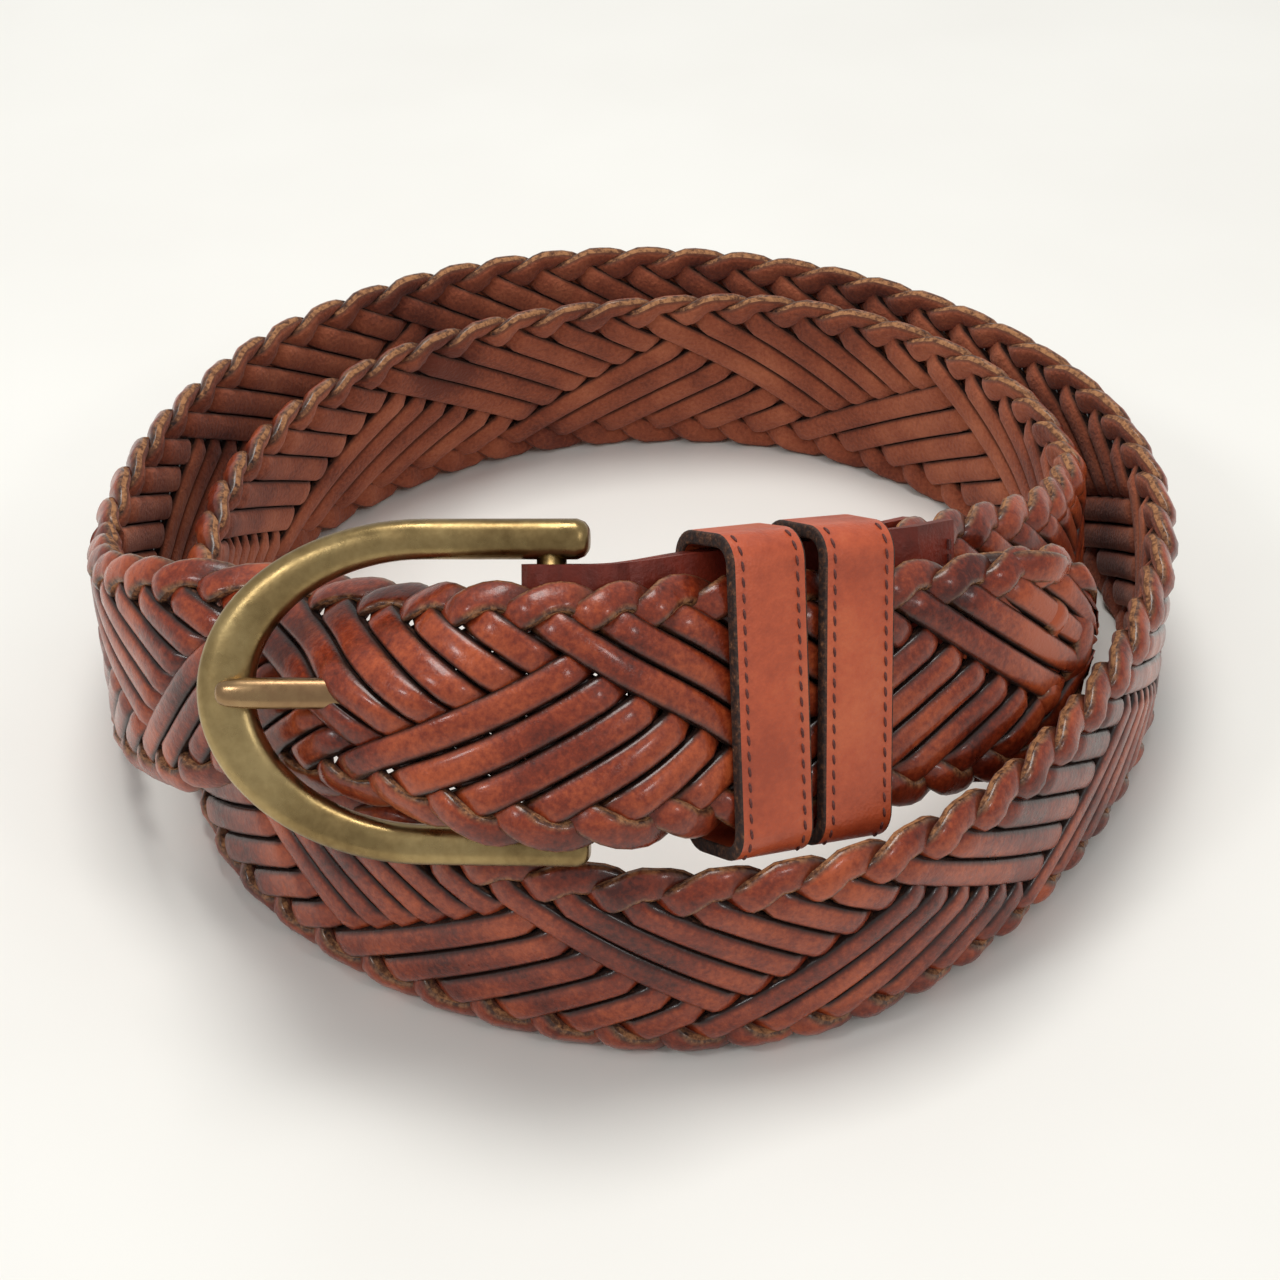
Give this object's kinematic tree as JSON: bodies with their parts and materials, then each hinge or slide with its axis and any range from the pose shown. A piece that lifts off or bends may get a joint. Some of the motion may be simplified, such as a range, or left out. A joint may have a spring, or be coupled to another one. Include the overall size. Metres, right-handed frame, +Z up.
{
  "type": "leather belt",
  "caption": "Braided leather belt with a horseshoe buckle, prong and stitched keepers, fastened and coiled on its edge.",
  "frame": {"origin": "on the floor, under the middle of the coiled belt's box", "axes": "+Z up along the strap's width; -Y is the front, where the buckle is; +X is the wearer's side the tip points to"},
  "size_m": [0.1742, 0.184, 0.0753],
  "materials": {
    "braided_leather": "satin",
    "chape_leather": "satin",
    "keeper_leather": "satin",
    "thread": "matt",
    "antique_brass": "worn satin"
  },
  "bodies": {
    "strap": {"lace_01": "braided_leather", "lace_02": "braided_leather", "lace_03": "braided_leather", "lace_04": "braided_leather", "lace_05": "braided_leather", "lace_06": "braided_leather", "lace_07": "braided_leather", "lace_08": "braided_leather", "lace_09": "braided_leather", "lace_10": "braided_leather", "lace_11": "braided_leather", "lace_12": "braided_leather", "chape": "chape_leather", "chape_stitching": "thread", "keeper_fixed": "keeper_leather", "keeper_fixed_stitching": "thread"},
    "buckle": {"buckle_frame": "antique_brass"},
    "prong": {"buckle_prong": "antique_brass"},
    "loose_keeper": {"keeper_sliding": "keeper_leather", "keeper_sliding_stitching": "thread"}
  },
  "joints": [
    {"name": "buckle_turn", "type": "hinge", "parent": "strap", "child": "buckle", "pos_m": [-0.01098, -0.07269, 0.05534], "axis": [-0.0012, 0.5616, 0.8274], "range_deg": [0, 5]},
    {"name": "prong_turn", "type": "hinge", "parent": "buckle", "child": "prong", "pos_m": [-0.01098, -0.07269, 0.05534], "axis": [-0.0012, 0.5616, 0.8274], "range_deg": [0, 5]},
    {"name": "keeper_slide", "type": "slide", "parent": "strap", "child": "loose_keeper", "axis": [0.8562, 0.4637, -0.2277], "range_m": [-0.0015, 0.002]}
  ]
}
